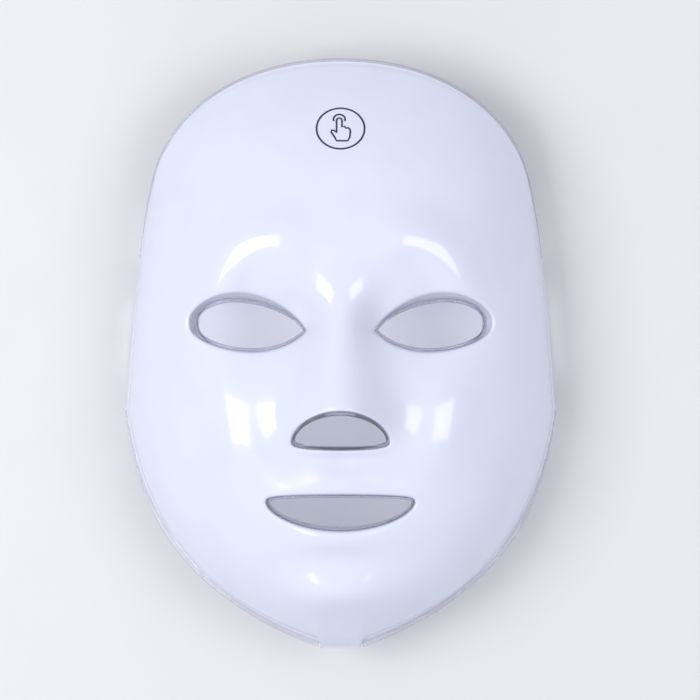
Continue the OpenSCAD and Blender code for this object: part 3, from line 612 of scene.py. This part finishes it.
# ---------------------------------------------------------------- materials
class Graph:
    """A material's node tree, with a few short ways to build it."""

    def __init__(self, name):
        self.material = bpy.data.materials.new(name)
        self.material.use_nodes = True
        self.tree = self.material.node_tree
        self.body = self.tree.nodes["Principled BSDF"]
        self.where = self.add("ShaderNodeTexCoord").outputs["Object"]
        self.bumps = None

    def add(self, kind, **inputs):
        node = self.tree.nodes.new(kind)
        for key, value in inputs.items():
            self.put(node.inputs[key.replace("_", " ")], value)
        return node

    def put(self, socket, value):
        if isinstance(value, bpy.types.NodeSocket):
            self.tree.links.new(value, socket)
        else:
            socket.default_value = value

    def noise(self, size, detail=3.0, stretch=None):
        """Noise from 0 to 1 whose features are about size millimetres."""
        where = self.where
        if stretch:
            mapping = self.add("ShaderNodeMapping", Vector=where)
            mapping.inputs["Scale"].default_value = stretch
            where = mapping.outputs["Vector"]
        node = self.add("ShaderNodeTexNoise", Vector=where, Scale=1000 / size, Detail=detail)
        return node.outputs["Fac"]

    def cells(self, size, feature="F1"):
        node = self.add("ShaderNodeTexVoronoi", Vector=self.where, Scale=1000 / size)
        node.feature = feature
        return node.outputs["Distance"]

    def span(self, value, low, high, start=0.3, stop=0.7):
        node = self.add("ShaderNodeMapRange", Value=value)
        for key, v in (("From Min", start), ("From Max", stop), ("To Min", low), ("To Max", high)):
            node.inputs[key].default_value = v
        return node.outputs["Result"]

    def blend(self, share, a, b):
        node = self.tree.nodes.new("ShaderNodeMix")
        node.data_type = "RGBA"
        self.put(node.inputs["Factor"], share)
        sockets = [s for s in node.inputs if s.type == "RGBA"]
        for socket, value in zip(sockets, (a, b)):
            self.put(socket, value if isinstance(value, bpy.types.NodeSocket) else (*value, 1.0))
        return [s for s in node.outputs if s.type == "RGBA"][0]

    def bump(self, height, depth, strength=1.0):
        """Adds relief whose full height is depth millimetres."""
        node = self.add("ShaderNodeBump", Height=height, Strength=strength, Distance=depth * MM)
        if self.bumps:
            self.put(node.inputs["Normal"], self.bumps)
        self.bumps = node.outputs["Normal"]
        self.put(self.body.inputs["Normal"], self.bumps)

    def set(self, **inputs):
        for key, value in inputs.items():
            self.put(self.body.inputs[key.replace("_", " ")], value)


# Plain materials: two close colours, size of their patches, range of roughness, size of the grain,
# its relief, and whether it is metal. Sizes are in millimetres.
PLAIN = {
    "white_shell": ((0.665, 0.695, 0.835), (0.645, 0.675, 0.815), 18, (0.13, 0.2), 2.5, 0.004, 0),
    "ink": ((0.025, 0.027, 0.052), (0.035, 0.037, 0.066), 0.6, (0.3, 0.45), 0.15, 0.01, 0),
    "copper": ((0.72, 0.36, 0.17), (0.60, 0.28, 0.13), 3, (0.25, 0.42), 0.3, 0.006, 1),
    "steel": ((0.62, 0.62, 0.64), (0.52, 0.52, 0.54), 2, (0.22, 0.38), 0.3, 0.004, 1),
    "green_board": ((0.012, 0.10, 0.035), (0.016, 0.13, 0.05), 6, (0.28, 0.4), 0.3, 0.004, 0),
    "black_chip": ((0.016, 0.016, 0.018), (0.028, 0.028, 0.03), 1.2, (0.5, 0.7), 0.12, 0.02, 0),
    "dark_core": ((0.05, 0.05, 0.052), (0.08, 0.078, 0.075), 0.8, (0.5, 0.75), 0.2, 0.04, 0),
    "chip_ceramic": ((0.42, 0.31, 0.19), (0.34, 0.24, 0.15), 0.7, (0.35, 0.5), 0.15, 0.01, 0),
    "ivory_socket": ((0.78, 0.74, 0.6), (0.72, 0.68, 0.54), 2, (0.35, 0.5), 0.3, 0.008, 0),
    "white_plastic": ((0.76, 0.77, 0.82), (0.71, 0.72, 0.78), 5, (0.35, 0.5), 0.5, 0.015, 0),
    "foil": ((0.66, 0.67, 0.70), (0.58, 0.59, 0.62), 7, (0.24, 0.42), 0.7, 0.012, 1),
    "foam": ((0.09, 0.09, 0.1), (0.14, 0.14, 0.15), 1.5, (0.85, 0.98), 0.5, 0.05, 0),
    "red_wire": ((0.5, 0.02, 0.015), (0.42, 0.016, 0.012), 3, (0.35, 0.5), 0.4, 0.01, 0),
    "amber_flex": ((0.62, 0.25, 0.03), (0.54, 0.2, 0.025), 4, (0.2, 0.32), 0.5, 0.006, 0),
    "white_board": ((0.82, 0.83, 0.83), (0.77, 0.78, 0.79), 9, (0.35, 0.5), 0.4, 0.006, 0),
    "light_body": ((0.84, 0.84, 0.82), (0.78, 0.78, 0.76), 2, (0.35, 0.5), 0.3, 0.01, 0),
    "light_lens": ((0.82, 0.62, 0.10), (0.74, 0.52, 0.07), 0.9, (0.12, 0.25), 0.25, 0.01, 0),
    "table": ((0.69, 0.695, 0.72), (0.675, 0.68, 0.705), 60, (0.5, 0.65), 1.2, 0.01, 0),
}


def plain(name):
    a, b, patch, rough, grain, relief, metal = PLAIN[name]
    g = Graph(name)
    g.set(Base_Color=g.blend(g.span(g.noise(patch), 0, 1), a, b), Metallic=metal)
    g.set(Roughness=g.span(g.noise(patch * 0.6, 4.0), *rough))
    g.bump(g.noise(grain, 2.0), relief)
    return g


def tracks(g, size, width, ground, line, relief):
    """Raised lines of a second colour, as on a circuit board."""
    lines = g.span(g.cells(size, "DISTANCE_TO_EDGE"), 1, 0, 0.02, width)
    g.set(Base_Color=g.blend(lines, ground, line))
    g.bump(lines, relief)


def clear_plastic(name):
    """Slightly milky clear plastic that lets shadow rays through."""
    g = Graph(name)
    g.set(Base_Color=(0.76, 0.77, 0.84, 1), Transmission_Weight=0.86, IOR=1.38)
    g.set(Roughness=g.span(g.noise(9, 4.0), 0.02, 0.07))
    g.bump(g.noise(6, 2.0), 0.006)
    links, end = g.tree.links, g.tree.nodes["Material Output"]
    through = g.add("ShaderNodeBsdfTransparent", Color=(0.93, 0.94, 0.96, 1))
    path = g.add("ShaderNodeLightPath")
    mixed = g.add("ShaderNodeMixShader", Fac=path.outputs["Is Shadow Ray"])
    links.new(g.body.outputs["BSDF"], mixed.inputs[1])
    links.new(through.outputs["BSDF"], mixed.inputs[2])
    links.new(mixed.outputs["Shader"], end.inputs["Surface"])
    tint = g.add("ShaderNodeVolumeAbsorption", Color=(0.55, 0.56, 0.74, 1), Density=40)
    links.new(tint.outputs["Volume"], end.inputs["Volume"])
    return g


def make_materials():
    made = {name: plain(name) for name in PLAIN}
    made["clear_shell"] = clear_plastic("clear_shell")
    shell, steel, foil, foam = (made[name] for name in ("white_shell", "steel", "foil", "foam"))
    flex = made["amber_flex"]
    shell.set(Coat_Weight=0.25, Coat_Roughness=0.06)
    shell.bump(shell.noise(0.25, 1.0), 0.0006)
    steel.bump(steel.noise(0.5, 2.0, (1, 1, 12)), 0.004)
    foil.bump(foil.noise(5, 3.0, (1, 0.35, 1)), 0.12)
    foam.bump(foam.cells(0.55), 0.16)
    flex.bump(flex.span(flex.cells(1.6, "DISTANCE_TO_EDGE"), 1, 0, 0.03, 0.09), 0.03)
    tracks(made["green_board"], 2.2, 0.07, (0.013, 0.11, 0.04), (0.03, 0.2, 0.08), 0.03)
    tracks(made["white_board"], 6, 0.06, (0.82, 0.83, 0.83), (0.7, 0.72, 0.74), 0.035)
    made["light_lens"].set(Subsurface_Weight=0.2, Subsurface_Scale=0.0008)
    return {name: g.material for name, g in made.items()}


MATS = make_materials()

# ---------------------------------------------------------------- the pieces
finish_piece(build_outer_shell(MATS["white_shell"]), "white_shell", "outer_shell")
finish_piece(build_inner_shell(MATS["clear_shell"]), "clear_shell", "inner_shell")
for name, area in BOARDS.items():
    finish_piece(build_board(name, area, BOARD_T, MATS["white_board"]), "white_board", name)
    group = name.replace("light_board", "lights")
    lights = build_lights(group + "_packages", area, [MATS["light_body"], MATS["light_lens"]])
    finish_piece(lights, "light_body", group)
for name, area in LINKS.items():
    finish_piece(build_board(name, area, LINK_T, MATS["amber_flex"]), "amber_flex", name)

# CAD nodes that keep their own shape: material slot and edge rounding in millimetres
KEPT = {
    "touch_mark": ("ink", 0),
    "touch_pad": ("copper", 0.05),
    "touch_spring": ("steel", 0),
    "control_board": ("green_board", 0.1),
    "control_chips": ("black_chip", 0.12),
    "control_coil": ("dark_core", 0.2),
    "control_parts": ("chip_ceramic", 0.08),
    "control_sockets": ("ivory_socket", 0.1),
    "control_posts": ("white_plastic", 0.1),
    "control_fixings": ("steel", 0.05),
    "battery": ("foil", 0.6),
    "battery_pad": ("foam", 0.3),
    "battery_guard": ("green_board", 0.1),
    "battery_lead": ("red_wire", 0),
    "light_pads": ("foam", 0.3),
    "light_lead": ("amber_flex", 0),
    "shell_posts": ("white_plastic", 0.15),
    "shell_screws": ("steel", 0.1),
    "port_housing": ("white_plastic", 0.35),
    "port_board": ("green_board", 0.1),
    "charge_port": ("steel", 0.05),
    "port_lead": ("red_wire", 0),
}


def smooth_group():
    """Geometry nodes that shade smooth across every edge flatter than 35 degrees."""
    group = bpy.data.node_groups.new("smooth_by_angle", "GeometryNodeTree")
    group.interface.new_socket("Geometry", in_out="INPUT", socket_type="NodeSocketGeometry")
    group.interface.new_socket("Geometry", in_out="OUTPUT", socket_type="NodeSocketGeometry")
    start, end = group.nodes.new("NodeGroupInput"), group.nodes.new("NodeGroupOutput")
    angle = group.nodes.new("GeometryNodeInputMeshEdgeAngle")
    small = group.nodes.new("FunctionNodeCompare")
    small.operation = "LESS_THAN"
    small.inputs["B"].default_value = math.radians(35)
    edges = group.nodes.new("GeometryNodeSetShadeSmooth")
    faces = group.nodes.new("GeometryNodeSetShadeSmooth")
    edges.domain, faces.domain = "EDGE", "FACE"
    group.links.new(start.outputs[0], faces.inputs["Geometry"])
    group.links.new(faces.outputs["Geometry"], edges.inputs["Geometry"])
    group.links.new(angle.outputs["Unsigned Angle"], small.inputs["A"])
    group.links.new(small.outputs["Result"], edges.inputs["Shade Smooth"])
    group.links.new(edges.outputs["Geometry"], end.inputs[0])
    return group


SMOOTH = smooth_group()


def soften(obj, width):
    if width:
        bevel = obj.modifiers.new("edges", "BEVEL")
        bevel.width = width * MM
        bevel.segments = 2
        bevel.limit_method = "ANGLE"
        bevel.angle_limit = math.radians(50)
    obj.modifiers.new("smooth", "NODES").node_group = SMOOTH


for name, (slot, width) in KEPT.items():
    obj = nodes[name]
    for place in obj.material_slots:
        place.material = MATS[slot]
    soften(obj, width)
for obj in bpy.data.objects:
    if obj.name.endswith("_packages"):
        soften(obj, 0)

# ---------------------------------------------------------------- table, lights and camera
TABLE_HALF, TABLE_GAP = 2500, 0.05
corners = [(x * TABLE_HALF, y * TABLE_HALF, 0) for x, y in ((-1, -1), (1, -1), (1, 1), (-1, 1))]
floor = new_object("table_top", corners, [(0, 1, 2, 3)], [MATS["table"]], smooth=False)
floor.location.z = -TABLE_GAP * MM


def studio_world():
    """An even white tent, a little brighter near the table than overhead."""
    world = bpy.data.worlds.new("studio")
    world.use_nodes = True
    tree = world.node_tree
    back = tree.nodes["Background"]
    back.inputs["Color"].default_value = (0.94, 0.952, 1.0, 1)
    where = tree.nodes.new("ShaderNodeTexCoord")
    split = tree.nodes.new("ShaderNodeSeparateXYZ")
    rise = tree.nodes.new("ShaderNodeMapRange")
    for key, value in (("From Min", 0.1), ("From Max", 1.0), ("To Min", 0.75), ("To Max", 0.605)):
        rise.inputs[key].default_value = value
    tree.links.new(where.outputs["Generated"], split.inputs[0])
    tree.links.new(split.outputs["Z"], rise.inputs["Value"])
    tree.links.new(rise.outputs["Result"], back.inputs["Strength"])
    return world


def soft_box(name, place, target, size, power, color):
    data = bpy.data.lights.new(name, "AREA")
    data.shape = "RECTANGLE"
    data.size, data.size_y = size
    data.energy = power
    data.color = color
    obj = bpy.data.objects.new(name, data)
    obj.location = place
    obj.rotation_euler = (Vector(target) - Vector(place)).to_track_quat("-Z", "Y").to_euler()
    bpy.context.collection.objects.link(obj)
    return obj


bpy.context.scene.world = studio_world()
bpy.context.scene.view_settings.view_transform = "Standard"
CENTRE = (0, 0, 0.06)
soft_box("left_box", (-0.72, 0.0, 1.02), CENTRE, (0.68, 0.64), 8.6, (1, 0.99, 0.97))
soft_box("right_box", (0.72, 0.0, 1.02), CENTRE, (0.60, 0.60), 3.9, (0.98, 0.98, 1))
# The light that leaks in under the rims and through the thin white shell
for name, place, size, power in (
    ("inside_fill", (0, -0.02, 0.028), (0.10, 0.14), 0.031),
    ("eye_fill_right", (0.056, 0.014, 0.028), (0.04, 0.04), 0.013),
    ("eye_fill_left", (-0.056, 0.014, 0.028), (0.04, 0.04), 0.019),
):
    fill = soft_box(name, place, (place[0], place[1], 0), size, power, (0.84, 0.87, 1))
    fill.visible_camera = fill.visible_glossy = fill.visible_transmission = False

CAMERA_PLACE, VIEW_HALF = (0.0037, 0.0016, 1.2), 0.1434  # half the width seen at table height
camera_data = bpy.data.cameras.new("camera")
camera_data.angle = 2 * math.atan(VIEW_HALF / CAMERA_PLACE[2])
camera = bpy.data.objects.new("camera", camera_data)
camera.location = CAMERA_PLACE
bpy.context.collection.objects.link(camera)
bpy.context.scene.camera = camera
